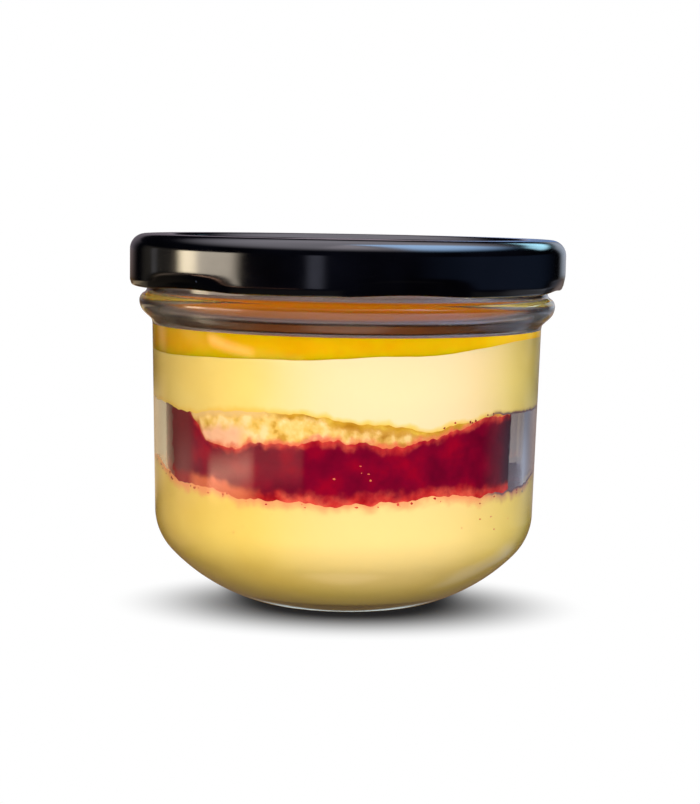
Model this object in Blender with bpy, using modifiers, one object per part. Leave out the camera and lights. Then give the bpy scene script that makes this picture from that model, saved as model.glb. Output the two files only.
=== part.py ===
"""Cake in a jar: custard, berry-soaked cake, plain sponge, more custard and a fruit jelly, layered in
a small round-heeled glass jar that is shut with a black twist-off lid.

Metres, +Z up. The jar stands on z = 0 with its axis on Z and the side that shows best towards -Y.
Azimuths run in degrees from that front, positive towards +X.
"""

import math

import bpy

for old in list(bpy.data.objects):
    bpy.data.objects.remove(old, do_unlink=True)

parts = bpy.data.collections.new("cake_in_a_jar")
bpy.context.scene.collection.children.link(parts)
cutters = bpy.data.collections.new("cutters")
bpy.context.scene.collection.children.link(cutters)

MM = 0.001

STEPS = 48  # facets round the axis, shared by every piece so that their chords run parallel
GAP = 0.3 * MM  # clearance between pieces that touch

# Twist-off lid: lacquered steel sheet with a rolled bottom edge and six lugs
LID_RADIUS = 42.75 * MM
LID_TOP = 70.9 * MM
LID_BOTTOM = 60.9 * MM
LID_SHEET = 0.4 * MM
LID_SHOULDER = 3.0 * MM
LID_TAPER = 0.15 * MM  # how much narrower the skirt is just above its rolled edge
LID_RIM_WIDTH = 4.2 * MM  # flat ring that lies over the jar's mouth
LID_PANEL_DROP = 1.0 * MM
LID_BUTTON_RADIUS = 13.0 * MM
LID_BUTTON_RISE = 0.4 * MM
LID_CURL = 0.7 * MM  # radius of the rolled edge
LUGS = 6
LUG_AZIMUTH = -45.0
LUG_HALF_WIDTH = 20.0
LUG_DEPTH = 0.8 * MM
LUG_HEIGHT = 3.4 * MM
LUG_LIFT = 0.4 * MM

# Glass jar
MOUTH_TOP = LID_TOP - LID_SHEET - GAP
WALL = 2.3 * MM
BODY_RADIUS = 38.35 * MM  # just under the bead
HEEL_TOP_RADIUS = 37.65 * MM
HEEL_TOP = 16.9 * MM
HEEL_RADIUS = 10.9 * MM
HEEL_TURN = math.radians(42.7)
FOOT_RADIUS = 20.1 * MM
FOOT_WIDTH = 2.6 * MM
PUNT = 1.2 * MM  # hollow under the base
FLOOR = 4.0 * MM
BEAD_RADIUS = 3.2 * MM  # the bead's long lower flank
BEAD_CENTRE = (37.7 * MM, 58.0 * MM)
BEAD_CORNER = 1.6 * MM  # its tighter upper corner
BEAD_FOOT = 54.3 * MM
NECK_RADIUS = 39.4 * MM
NECK_BOTTOM = 60.1 * MM
MOUTH_RADIUS = 36.2 * MM
RIM_ROUND = 1.2 * MM
THREADS = LUGS
THREAD_DEPTH = 1.0 * MM
THREAD_WIDTH = 2.8 * MM
THREAD_CREST = 1.0 * MM
THREAD_RISE = 1.6 * MM
THREAD_HEIGHT = 66.0 * MM

# Layers: (azimuth, height in mm) along each boundary where it meets the glass
CUSTARD_LINE = ((-73, 28.0), (-64, 26.0), (-55, 24.9), (-43, 24.8), (-37, 24.4), (-31.5, 23.2), (-26, 23.9),
                (2, 23.4), (26, 24.8), (48, 24.0), (62, 24.2), (85, 26.2), (120, 24.6), (162, 22.8),
                (205, 24.4), (250, 25.8))
SOAK_LINE = ((-53, 39.4), (-48, 37.0), (-43, 33.2), (-33, 32.6), (-25.5, 34.2), (-14, 33.9), (-8, 35.1),
             (4, 34.6), (16, 33.9), (26, 35.4), (35, 36.9), (46, 38.7), (100, 38.6), (128, 34.2),
             (165, 33.0), (200, 34.8), (238, 38.4))
CAKE_LINE = ((-66, 39.4), (-56, 38.3), (-50, 38.3), (-40, 39.2), (-28, 39.7), (-12, 39.6), (8, 38.1),
             (25, 36.7), (35, 37.7), (46, 38.8), (62, 38.5), (95, 38.4), (140, 37.3), (182, 38.8),
             (240, 38.0))
JELLY_LINE = ((-135, 49.6), (-65, 48.7), (-20, 49.3), (20, 50.4), (65, 52.5), (115, 51.8), (165, 50.6))
CUSTARD_LEVEL = 24.2 * MM  # the same boundaries' heights on the axis
SOAK_LEVEL = 33.6 * MM
CAKE_LEVEL = 38.2 * MM
JELLY_LEVEL = 50.3 * MM
JELLY_TOP = 53.6 * MM
SPONGE_INSET = 4.0 * MM  # how far the sponge stays from the glass where syrup soaked it through
SPONGE_SHOWS = 1.5 * MM  # sponge at least this thick reaches the glass
SPONGE_CRUMB = 1.0 * MM  # thinnest that it is drawn

RINGS = (0.0, 0.3, 0.55, 0.75, 0.88, 0.96, 1.0)  # share of a layer's radius


# ---------------------------------------------------------------- shared shape functions


def smooth(t):
    """0 to 1 with level ends."""
    t = min(max(t, 0.0), 1.0)
    return t * t * (3 - 2 * t)


def arc(centre, radius, start, end, steps):
    """Points on an arc in the (r, z) plane, angles in radians from the outward direction."""
    angles = [start + (end - start) * i / steps for i in range(steps + 1)]
    return [(centre[0] + radius * math.cos(a), centre[1] + radius * math.sin(a)) for a in angles]


def azimuth_of(x, y):
    return math.degrees(math.atan2(x, -y))


def line_height(line, azimuth):
    """Height of a boundary at the glass, eased from each of its points to the next."""
    start = line[0][0]
    azimuth = (azimuth - start) % 360 + start
    points = line + ((start + 360, line[0][1]),)
    for (a0, h0), (a1, h1) in zip(points, points[1:]):
        if azimuth <= a1:
            return (h0 + (h1 - h0) * smooth((azimuth - a0) / (a1 - a0))) * MM
    return points[-1][1] * MM


def turned_mesh(name, profile):
    """A profile at +X turned about Z and returned as a plain mesh."""
    outline = bpy.data.meshes.new(name)
    outline.from_pydata([(r, 0.0, z) for r, z in profile],
                        [(i, i + 1) for i in range(len(profile) - 1)], [])
    turning = bpy.data.objects.new(name + "_turning", outline)
    bpy.context.scene.collection.objects.link(turning)
    screw = turning.modifiers.new("Turn", "SCREW")
    screw.axis = "Z"
    screw.steps = STEPS
    screw.render_steps = STEPS
    screw.use_merge_vertices = True
    screw.merge_threshold = 0.02 * MM
    depsgraph = bpy.context.evaluated_depsgraph_get()
    mesh = bpy.data.meshes.new_from_object(turning.evaluated_get(depsgraph))
    bpy.data.objects.remove(turning)
    bpy.data.meshes.remove(outline)
    mesh.name = name
    return mesh


def move_points(mesh, rule):
    """Moves each vertex to where rule(x, y, z) puts it."""
    for vertex in mesh.vertices:
        vertex.co = rule(*vertex.co)
    mesh.update()


def add_piece(name, mesh, material):
    mesh.materials.clear()
    mesh.materials.append(material)
    mesh.shade_smooth()
    mesh.set_sharp_from_angle(angle=math.radians(30))
    piece = bpy.data.objects.new(name, mesh)
    parts.objects.link(piece)
    return piece


def make_material(name, srgb, roughness, metallic=0.0, transmission=0.0):
    linear = [c / 12.92 if c <= 0.04045 else ((c + 0.055) / 1.055) ** 2.4 for c in srgb]
    material = bpy.data.materials.new(name)
    material.use_nodes = True
    shader = material.node_tree.nodes["Principled BSDF"]
    shader.inputs["Base Color"].default_value = (*linear, 1.0)
    shader.inputs["Roughness"].default_value = roughness
    shader.inputs["Metallic"].default_value = metallic
    shader.inputs["Transmission Weight"].default_value = transmission
    material.diffuse_color = (*linear, 1.0 - 0.7 * transmission)
    return material


# ---------------------------------------------------------------- glass jar

heel_centre = (HEEL_TOP_RADIUS - HEEL_RADIUS, HEEL_TOP)
heel_end = arc(heel_centre, HEEL_RADIUS, 0, -HEEL_TURN, 1)[-1]

# The base's shallow curve leaves the heel tangentially and ends at the foot's edge
inward = (-math.cos(HEEL_TURN), math.sin(HEEL_TURN))
to_foot = (FOOT_RADIUS - heel_end[0], -heel_end[1])
BASE_RADIUS = (to_foot[0] ** 2 + to_foot[1] ** 2) / (
    2 * (to_foot[0] * inward[0] + to_foot[1] * inward[1]))
base_centre = (heel_end[0] + BASE_RADIUS * inward[0], heel_end[1] + BASE_RADIUS * inward[1])


def inner_radius(z, clear=0.0):
    """Radius of the jar's inner wall, or of a surface that keeps clear of it, at a height."""
    depth = WALL + clear
    if z >= HEEL_TOP:
        share = (z - HEEL_TOP) / (BEAD_CENTRE[1] - HEEL_TOP)
        lowest = HEEL_TOP_RADIUS - WALL
        return lowest + (MOUTH_RADIUS - lowest) * min(share, 1.0) - clear
    if z >= heel_centre[1] - (HEEL_RADIUS - depth) * math.sin(HEEL_TURN):
        return heel_centre[0] + math.sqrt((HEEL_RADIUS - depth) ** 2 - (z - heel_centre[1]) ** 2)
    return base_centre[0] + math.sqrt((BASE_RADIUS - depth) ** 2 - (z - base_centre[1]) ** 2)


FLOOR_HEIGHTS = [FLOOR + (HEEL_TOP - FLOOR) * share for share in (0, 0.1, 0.22, 0.36, 0.52, 0.74, 1)]


def jar_profile():
    """From the middle of the floor up the inside, over the rim, down the outside and in under the base."""
    inside = [(0.0, FLOOR)] + [(inner_radius(z), z) for z in FLOOR_HEIGHTS + [BEAD_CENTRE[1]]]
    rim_z = MOUTH_TOP - RIM_ROUND
    rim = arc((MOUTH_RADIUS + RIM_ROUND, rim_z), RIM_ROUND, math.pi, math.pi / 2, 3)
    rim += arc((NECK_RADIUS - RIM_ROUND, rim_z), RIM_ROUND, math.pi / 2, 0, 3)
    thread = [(NECK_RADIUS, THREAD_HEIGHT + half) for half in
              (THREAD_WIDTH / 2, THREAD_CREST / 2, -THREAD_CREST / 2, -THREAD_WIDTH / 2)]
    corner_centre = (BEAD_CENTRE[0] + BEAD_RADIUS - BEAD_CORNER, BEAD_CENTRE[1])
    bead = arc(corner_centre, BEAD_CORNER, math.radians(65), 0, 2)
    bead += arc(BEAD_CENTRE, BEAD_RADIUS, math.radians(-18), math.radians(-48), 2)
    neck = [(NECK_RADIUS, NECK_BOTTOM)] + bead
    body = [(BODY_RADIUS + 0.1 * MM, BEAD_FOOT), (BODY_RADIUS, BEAD_FOOT - 0.6 * MM)]
    heel = arc(heel_centre, HEEL_RADIUS, 0, -HEEL_TURN, 5)
    base_start = math.atan2(heel_end[1] - base_centre[1], heel_end[0] - base_centre[0])
    base_end = math.atan2(-base_centre[1], FOOT_RADIUS - base_centre[0])
    base = arc(base_centre, BASE_RADIUS, base_start, base_end, 5)[1:-1]
    foot = [(FOOT_RADIUS + 0.6 * MM, 0.35 * MM), (FOOT_RADIUS - 0.4 * MM, 0.0),
            (FOOT_RADIUS - FOOT_WIDTH, 0.0)]
    punt = [(FOOT_RADIUS - 2 * FOOT_WIDTH, PUNT), (0.0, PUNT)]
    return inside + rim + thread + neck + body + heel + base + foot + punt


def with_threads(x, y, z):
    """Raises short ramps round the neck, which the lid's lugs run under."""
    off_crest = abs(z - THREAD_HEIGHT)
    if off_crest > THREAD_WIDTH * 0.51 or math.hypot(x, y) < NECK_RADIUS * 0.99:
        return x, y, z
    share = (azimuth_of(x, y) - LUG_AZIMUTH) * THREADS / 360 % 1
    on_crest = off_crest < THREAD_CREST
    stretch = 1 + on_crest * THREAD_DEPTH * smooth(3 * min(share, 1 - share)) / NECK_RADIUS
    return x * stretch, y * stretch, z + THREAD_RISE * (share - 0.5)


# ---------------------------------------------------------------- lid


def lid_profile():
    """From the middle of the top out over the rim, down the skirt, round the curl and back underneath."""
    shoulder_centre = (LID_RADIUS - LID_SHOULDER, LID_TOP - LID_SHOULDER)
    curl_centre = (LID_RADIUS - LID_TAPER - LID_CURL, LID_BOTTOM + LID_CURL)
    rim_in = shoulder_centre[0] - LID_RIM_WIDTH
    panel_edge = rim_in - 1.6 * MM
    panel_z = LID_TOP - LID_PANEL_DROP
    button_z = panel_z + LID_BUTTON_RISE
    panel = [(0.0, button_z), (LID_BUTTON_RADIUS, button_z), (LID_BUTTON_RADIUS + 2 * MM, panel_z)]
    step = [(panel_edge, panel_z), (rim_in - 0.3 * MM, LID_TOP - 0.15 * MM), (rim_in + 0.4 * MM, LID_TOP)]
    shoulder = arc(shoulder_centre, LID_SHOULDER, math.pi / 2, 0, 5)
    drop = shoulder_centre[1] - curl_centre[1]
    skirt = [(LID_RADIUS - LID_TAPER * share, shoulder_centre[1] - drop * share)
             for share in (0.25, 0.5, 0.75)]
    curl = arc(curl_centre, LID_CURL, 0, -1.25 * math.pi, 7)
    inner_skirt = [(r - LID_SHEET, z + LID_SHEET / 2) for r, z in reversed(skirt)]
    inner_shoulder = arc(shoulder_centre, LID_SHOULDER - LID_SHEET, 0, math.pi / 2, 3)
    under = [(rim_in + 0.2 * MM, LID_TOP - LID_SHEET), (panel_edge - 0.1 * MM, panel_z - LID_SHEET)]
    under += [(r, z - LID_SHEET) for r, z in reversed(panel)]
    return panel + step + shoulder + skirt + curl + inner_skirt + inner_shoulder + under


def with_lugs(x, y, z):
    """Presses the skirt's lower edge inwards and a little up at each lug."""
    pitch = 360 / LUGS
    off = (azimuth_of(x, y) - LUG_AZIMUTH + pitch / 2) % pitch - pitch / 2
    press = smooth(1 - abs(off) / LUG_HALF_WIDTH) * smooth(1 - (z - LID_BOTTOM) / LUG_HEIGHT)
    shrink = 1 - LUG_DEPTH * press / LID_RADIUS
    return x * shrink, y * shrink, z + LUG_LIFT * press


# ---------------------------------------------------------------- layers of the cake


def puck_mesh(name, side_levels):
    """A blank of radius 1 and height 1 with rings on both faces, for a layer to be shaped from."""
    top = [(share, 1.0) for share in RINGS]
    side = [(1.0, level) for level in reversed(side_levels)]
    bottom = [(share, 0.0) for share in reversed(RINGS)]
    return turned_mesh(name, top + side + bottom)


def level_at(line, centre_level, share, azimuth):
    """A boundary's height at a share of the radius: its own level on the axis, its line at the glass."""
    return centre_level + (line_height(line, azimuth) - centre_level) * share ** 1.5


def cake_bottom(share, azimuth):
    return level_at(CUSTARD_LINE, CUSTARD_LEVEL, share, azimuth)


def cake_top(share, azimuth):
    return level_at(CAKE_LINE, CAKE_LEVEL, share, azimuth)


def jelly_bottom(share, azimuth):
    return level_at(JELLY_LINE, JELLY_LEVEL, share, azimuth)


def soak_top(share, azimuth):
    """How high the syrup rose. At the glass the sponge over it is never drawn thinner than a crumb."""
    line = min(line_height(SOAK_LINE, azimuth), line_height(CAKE_LINE, azimuth) - SPONGE_CRUMB)
    return SOAK_LEVEL + (line - SOAK_LEVEL) * share ** 1.5


def sponge_inset(azimuth):
    """How far the sponge stays from the glass: nothing where it shows, more where syrup passed its edge."""
    thickness = line_height(CAKE_LINE, azimuth) - line_height(SOAK_LINE, azimuth)
    return SPONGE_INSET * (1 - smooth(thickness / SPONGE_SHOWS))


def shape_layer(mesh, bottom, top, inset=lambda azimuth: 0.0, clear=GAP):
    """Fits a puck between two boundaries and out to the glass, or to an inset from it."""

    def rule(x, y, level):
        azimuth = azimuth_of(x, y)
        share = math.hypot(x, y)
        low = bottom(share, azimuth)
        z = low + (top(share, azimuth) - low) * level
        radius = inner_radius(z, clear) - inset(azimuth)
        return x * radius, y * radius, z

    move_points(mesh, rule)


def make_custard_lower():
    levels = [(z - FLOOR) / (CUSTARD_LEVEL - FLOOR) for z in FLOOR_HEIGHTS[1:]]
    mesh = puck_mesh("custard_lower", levels)
    shape_layer(mesh, lambda share, azimuth: FLOOR + GAP,
                lambda share, azimuth: cake_bottom(share, azimuth) - GAP)
    return add_piece("custard_lower", mesh, custard)


def make_sponge():
    mesh = puck_mesh("sponge", ())
    shape_layer(mesh, lambda share, azimuth: soak_top(share, azimuth) + GAP, cake_top, sponge_inset)
    return add_piece("sponge", mesh, sponge)


def make_berry_cake():
    """Soaked cake, hollowed where the plain sponge lies in its top."""
    mesh = puck_mesh("berry_cake", (0.5,))
    shape_layer(mesh, cake_bottom, cake_top)
    piece = add_piece("berry_cake", mesh, berry)
    bed_mesh = puck_mesh("sponge_bed", ())
    shape_layer(bed_mesh, soak_top, lambda share, azimuth: cake_top(share, azimuth) + SPONGE_INSET,
                sponge_inset, clear=0.0)
    bed = bpy.data.objects.new("sponge_bed", bed_mesh)
    cutters.objects.link(bed)
    bed.display_type = "WIRE"
    bed.hide_render = True
    cut = piece.modifiers.new("Bed of the sponge", "BOOLEAN")
    cut.operation = "DIFFERENCE"
    cut.object = bed
    return piece


def make_custard_upper():
    mesh = puck_mesh("custard_upper", (0.5,))
    shape_layer(mesh, lambda share, azimuth: cake_top(share, azimuth) + GAP,
                lambda share, azimuth: jelly_bottom(share, azimuth) - GAP)
    return add_piece("custard_upper", mesh, custard)


def make_fruit_jelly():
    mesh = puck_mesh("fruit_jelly", ())
    shape_layer(mesh, jelly_bottom, lambda share, azimuth: JELLY_TOP)
    return add_piece("fruit_jelly", mesh, jelly)


# ---------------------------------------------------------------- the object

glass = make_material("jar_glass", (0.93, 0.96, 0.96), 0.02, transmission=1.0)
lacquer = make_material("black_lacquer", (0.05, 0.05, 0.08), 0.2)
custard = make_material("custard", (0.99, 0.89, 0.57), 0.45)
berry = make_material("berry_cake", (0.58, 0.02, 0.15), 0.5)
sponge = make_material("sponge", (0.93, 0.78, 0.47), 0.8)
jelly = make_material("fruit_jelly", (0.98, 0.74, 0.02), 0.2)

jar_mesh = turned_mesh("jar_glass", jar_profile())
move_points(jar_mesh, with_threads)
add_piece("jar_glass", jar_mesh, glass)

lid_mesh = turned_mesh("lid", lid_profile())
move_points(lid_mesh, with_lugs)
add_piece("lid", lid_mesh, lacquer)

make_custard_lower()
make_berry_cake()
make_sponge()
make_custard_upper()
make_fruit_jelly()
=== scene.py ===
import math

import bpy
import numpy as np
from mathutils import Matrix, Vector, noise


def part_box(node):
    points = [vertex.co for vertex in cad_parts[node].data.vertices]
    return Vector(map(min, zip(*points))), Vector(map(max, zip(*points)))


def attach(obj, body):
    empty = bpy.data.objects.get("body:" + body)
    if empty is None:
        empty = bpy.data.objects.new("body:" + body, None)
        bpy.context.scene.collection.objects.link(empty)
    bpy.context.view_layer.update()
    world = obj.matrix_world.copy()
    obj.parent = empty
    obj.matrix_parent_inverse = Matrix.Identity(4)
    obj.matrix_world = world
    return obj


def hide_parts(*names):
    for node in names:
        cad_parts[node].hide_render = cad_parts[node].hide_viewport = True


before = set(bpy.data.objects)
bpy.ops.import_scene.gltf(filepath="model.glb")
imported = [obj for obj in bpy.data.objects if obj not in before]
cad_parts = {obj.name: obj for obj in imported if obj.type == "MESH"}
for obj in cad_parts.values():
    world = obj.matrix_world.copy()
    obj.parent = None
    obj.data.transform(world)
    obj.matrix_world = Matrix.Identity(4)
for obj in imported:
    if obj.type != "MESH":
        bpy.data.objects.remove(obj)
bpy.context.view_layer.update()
MM = 0.001  # lengths are in metres

# ------------------------------------------------------------------ camera
# The jar is seen from 33 cm away and a little above its lid, whose top shows as a thin ellipse. The
# camera hangs about one degree askew, as in the photograph.

CAMERA_PLACE = (0.9 * MM, -330 * MM, 75.6 * MM)
CAMERA_PITCH = math.radians(6.5)
CAMERA_ROLL = math.radians(1.03)
FOCAL_LENGTH = 74.5
NEAREST_SEEN = 10 * MM

lens = bpy.data.cameras.new("camera")
lens.lens = FOCAL_LENGTH
lens.clip_start = NEAREST_SEEN
camera = bpy.data.objects.new("camera", lens)
bpy.context.scene.collection.objects.link(camera)
camera.location = CAMERA_PLACE
camera.rotation_euler = (Matrix.Rotation(math.pi / 2 - CAMERA_PITCH, 4, "X")
                         @ Matrix.Rotation(CAMERA_ROLL, 4, "Z")).to_euler()
bpy.context.scene.camera = camera
bpy.context.scene.view_settings.view_transform = "Standard"

# ------------------------------------------------------------------ table
# A white table that runs into a white backdrop. The jar's shadow on it is painted: a soft oval, darkest
# where the foot stands, where the table is a dark grey that the lamps light instead of glowing white.

TABLE_SIZE = 6.0
SHADE_GREY = (0.05, 0.05, 0.055, 1)
SHADE_MIDDLE = (1.2 * MM, -12.5 * MM, 0)
SHADE_CORE = 15 * MM
SHADE_EDGE = 47 * MM
SHADE_FLATNESS = 1.6
CONTACT_CORE = 17 * MM
CONTACT_EDGE = 26 * MM


def new_material(name):
    """A material, its node tree and its Principled shader."""
    material = bpy.data.materials.new(name)
    material.use_nodes = True
    return material, material.node_tree, material.node_tree.nodes["Principled BSDF"]


def feed(tree, slot, value):
    """Sets a node's input to a plain value, or links it to another node's socket."""
    if isinstance(value, bpy.types.NodeSocket):
        tree.links.new(value, slot)
    else:
        slot.default_value = value


def vector_step(tree, operation, *values):
    """A vector calculation on sockets or values, and its vector or value."""
    node = tree.nodes.new("ShaderNodeVectorMath")
    node.operation = operation
    for slot, value in zip(node.inputs, values):
        feed(tree, slot, value)
    return node.outputs["Value" if operation in ("DOT_PRODUCT", "LENGTH") else "Vector"]


def math_step(tree, operation, *values):
    """A calculation on sockets or numbers."""
    node = tree.nodes.new("ShaderNodeMath")
    node.operation = operation
    for slot, value in zip(node.inputs, values):
        feed(tree, slot, value)
    return node.outputs[0]


def times(tree, first, second):
    return math_step(tree, "MULTIPLY", first, second)


def eased_range(tree, value, low, high):
    """0 below low and 1 above high, or the other way round where low is the larger."""
    node = tree.nodes.new("ShaderNodeMapRange")
    node.interpolation_type = "SMOOTHSTEP"
    node.inputs["From Min"].default_value = min(low, high)
    node.inputs["From Max"].default_value = max(low, high)
    node.inputs["To Min"].default_value = float(low > high)
    node.inputs["To Max"].default_value = float(low < high)
    tree.links.new(value, node.inputs["Value"])
    return node.outputs["Result"]


def mix_shaders(tree, factor, first, second):
    """The first shader where the factor is 0 and the second where it is 1."""
    node = tree.nodes.new("ShaderNodeMixShader")
    for slot, value in zip(node.inputs, (factor, first.outputs[0], second.outputs[0])):
        tree.links.new(value, slot)
    return node


def on_piece(tree):
    """The place of a point on its own piece."""
    return tree.nodes.new("ShaderNodeTexCoord").outputs["Object"]


bpy.ops.mesh.primitive_plane_add(size=TABLE_SIZE, location=(0, 0, 0))
table = bpy.context.object
table.name = "table"
white_table, tree, shade = new_material("white_table")
shade.inputs["Base Color"].default_value = SHADE_GREY
shade.inputs["Roughness"].default_value = 1.0
shade.inputs["Specular IOR Level"].default_value = 0.0
bright = tree.nodes.new("ShaderNodeEmission")
place = on_piece(tree)
# Painted shadow: a flattened oval under the jar and a tighter ring round the foot, where the table turns
# from glowing white to lamp-lit dark grey
oval = vector_step(tree, "SUBTRACT", place, SHADE_MIDDLE)
oval = vector_step(tree, "MULTIPLY", oval, (1, SHADE_FLATNESS, 0))
outside_painted_shadow = eased_range(tree, vector_step(tree, "LENGTH", oval), SHADE_CORE, SHADE_EDGE)
clear_of_painted_contact = eased_range(tree, vector_step(tree, "LENGTH", place), CONTACT_CORE, CONTACT_EDGE)
table_top = mix_shaders(tree, times(tree, outside_painted_shadow, clear_of_painted_contact), shade, bright)
tree.links.new(table_top.outputs[0], tree.nodes["Material Output"].inputs["Surface"])
table.data.materials.append(white_table)
table.visible_glossy = False
table.visible_diffuse = False
table.visible_transmission = False
table.visible_shadow = False

# ------------------------------------------------------------------ room and lamps
# The room that lid and glass mirror is dim at eye level, with a pale ceiling, a window on the left
# and a bluish one at the back on the right. Softboxes light the jar from the front and above.

# Bright and dim patches of the room. Each has the azimuth of its middle (0 in front, + to the right),
# its half width and the softness of its sides, then its lowest and highest elevation and the softness
# of those edges, all in degrees, and the light that it adds.
ROOM = {
    "ceiling": (0, 200, 1, 52, 100, 18, (1.5, 1.42, 1.6)),
    "ceiling_lamp": (3, 16, 12, 60, 100, 14, (0.8, 0.7, 0.75)),
    "sky_on_the_right": (85, 35, 20, 48, 90, 16, (1.4, 3.0, 5.2)),
    "window_at_the_back": (144, 14, 5, 21, 33, 3, (1.8, 3.4, 4.2)),
    "window": (-76.7, 18, 4, -4.9, 8.5, 0.4, (4.4, 3.85, 3.1)),
    "window_frame": (-90, 4.5, 5, -4.9, 8.5, 0.4, (5.3, 4.4, 2.8)),
    "window_sill": (-71, 15, 4, -11.2, -10.2, 0.7, (6.4, 3.6, 2.4)),
    "dusk_left": (-102, 13, 8, -11.2, -9.2, 0.8, (0.5, 0.35, 0.3)),
    "strip_left": (-119, 2, 2, -5, 8, 1, (0.2, 0.2, 0.22)),
    "strip_front": (-16, 2.5, 3, -7, 8, 1, (0.42, 0.43, 0.55)),
    "dim_left": (-112, 18, 8, -5, 12, 3, (0.09, 0.08, 0.065)),
    "haze_left": (-40, 16, 2, -11.4, -9.6, 0.6, (0.9, 0.45, 0.3)),
    "haze_right": (128, 14, 12, -12, -8.5, 0.8, (0.1, 0.12, 0.16)),
    "light_low_right": (138, 12, 8, -50, -24, 4, (0.3, 0.36, 0.48)),
    "light_right": (158, 8, 6, -4, 16, 4, (0.4, 0.5, 0.6)),
    "navy_right": (85, 35, 20, -5, 9, 2, (0.03, 0.05, 0.1)),
    "pale_right": (118, 22, 10, -30, -8, 3, (0.2, 0.2, 0.22)),
    "pale_left": (-122, 20, 10, -30, -8, 3, (0.25, 0.2, 0.13)),
    "beige_back": (-153, 20, 6, -10, -6.4, 0.6, (0.45, 0.35, 0.22)),
    "dark_back": (180, 28, 10, -2, 14, 1.5, (0.2, 0.17, 0.2)),
    "pale_at_the_back": (179, 3.5, 2.5, 1, 14, 2, (0.16, 0.13, 0.15)),
    "blue_at_the_back": (173.5, 2.5, 2, 2, 14, 2, (0.0, 0.2, 0.55)),
    "grey_back": (153, 20, 6, -10.4, -6.6, 0.6, (0.15, 0.155, 0.2)),
    "brown_back": (180, 24, 14, -60, -2, 4, (0.2, 0.12, 0.06)),
    "table_behind": (180, 5, 3, -31, -23, 2, (0.7, 1.0, 1.1)),
    "under": (0, 200, 1, -100, -20, 6, (0.05, 0.045, 0.035)),
    "table_under": (0, 200, 1, -100, -80, 6, (0.9, 0.82, 0.7)),
}
AMBIENT = (0.12, 0.12, 0.13, 1)
BEHIND_JAR = (0.03, 0.018, 0.012, 1)
BEHIND_FROM_TO = (0.7, 0.9)  # how far a look goes straight back
BACKDROP = (1, 1, 1, 1)


def height_of(degrees):
    """Sine of an elevation, carried on past straight up and straight down, so that a patch that
    reaches beyond them has no edge there."""
    return math.sin(math.radians(max(-90, min(90, degrees)))) + min(degrees + 90, 0) + max(degrees - 90, 0)


def background(tree, colour):
    node = tree.nodes.new("ShaderNodeBackground")
    feed(tree, node.inputs["Color"], colour)
    return node


room = bpy.data.worlds.new("room")
bpy.context.scene.world = room
room.use_nodes = True
tree = room.node_tree
tree.nodes.clear()
look = tree.nodes.new("ShaderNodeTexCoord").outputs["Generated"]
level_look = vector_step(tree, "NORMALIZE", vector_step(tree, "MULTIPLY", look, (1, 1, 0)))
height = vector_step(tree, "DOT_PRODUCT", look, (0, 0, 1))
mirrored = None
for azimuth, half, soft, lowest, highest, blur, colour in ROOM.values():
    a = math.radians(azimuth)
    facing = vector_step(tree, "DOT_PRODUCT", level_look, (math.sin(a), -math.cos(a), 0))
    mask = times(tree, eased_range(tree, height, height_of(lowest - blur), height_of(lowest + blur)),
                 eased_range(tree, height, height_of(highest + blur), height_of(highest - blur)))
    if half < 180:
        wide = math.cos(math.radians(half + soft)), math.cos(math.radians(max(half - soft, 0)))
        mask = times(tree, mask, eased_range(tree, facing, *wide))
    patch = vector_step(tree, "SCALE", colour)
    tree.links.new(mask, patch.node.inputs["Scale"])
    mirrored = patch if mirrored is None else vector_step(tree, "ADD", mirrored, patch)

# Lid and glass mirror the patches, and the camera sees the white backdrop. Clear glass shows the dark
# side of the room behind the jar, and all else is lit by a dim even light.
path = tree.nodes.new("ShaderNodeLightPath")
backward = eased_range(tree, vector_step(tree, "DOT_PRODUCT", look, (0, 1, 0)), *BEHIND_FROM_TO)
unscattered = eased_range(tree, path.outputs["Diffuse Depth"], 0.9, 0.1)
through = times(tree, path.outputs["Is Transmission Ray"], times(tree, backward, unscattered))
seen = background(tree, AMBIENT)
for flag, shown in ((through, BEHIND_JAR), (path.outputs["Is Glossy Ray"], mirrored),
                    (path.outputs["Is Camera Ray"], BACKDROP)):
    seen = mix_shaders(tree, flag, seen, background(tree, shown))
tree.links.new(seen.outputs[0], tree.nodes.new("ShaderNodeOutputWorld").inputs["Surface"])

# Softboxes: azimuth, elevation and distance from the jar's middle, width and height, watts and colour
LAMP_AIM = Vector((0, 0, 40 * MM))
LAMPS = {
    "overhead": (0, 89, 0.6, (0.35, 0.35), 3.8, (1, 1, 1)),
    "key": (6, 13, 0.9, (0.35, 0.45), 8.8, (1, 1, 1)),
    "fill_left": (-95, 10, 0.9, (0.5, 0.5), 1.3, (1, 0.84, 0.55)),
    "fill_right": (95, 16, 0.9, (0.5, 0.5), 0.7, (0.85, 0.95, 1)),
    "fill_back": (180, 16, 0.9, (0.7, 0.5), 5.0, (1, 1, 1)),
}

for name, (azimuth, elevation, distance, size, watts, colour) in LAMPS.items():
    light = bpy.data.lights.new(name, "AREA")
    light.shape = "RECTANGLE"
    light.size, light.size_y = size
    light.energy = watts
    light.color = colour
    lamp = bpy.data.objects.new(name, light)
    bpy.context.scene.collection.objects.link(lamp)
    a, e = math.radians(azimuth), math.radians(elevation)
    outward = Vector((math.sin(a) * math.cos(e), -math.cos(a) * math.cos(e), math.sin(e)))
    lamp.location = LAMP_AIM + outward * distance
    lamp.rotation_euler = outward.to_track_quat("Z", "Y").to_euler()
    lamp.visible_glossy = False
    lamp.visible_transmission = False
    lamp.visible_camera = False

# ------------------------------------------------------------------ glass jar
# A pressed soda-lime jar with a round heel, a narrow foot and a bead under the thread.
# Its profile is drawn point by point and turned about the axis, and the foot is nicked all round. The
# thread's ramps, which the lid hides, are left out.

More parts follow.
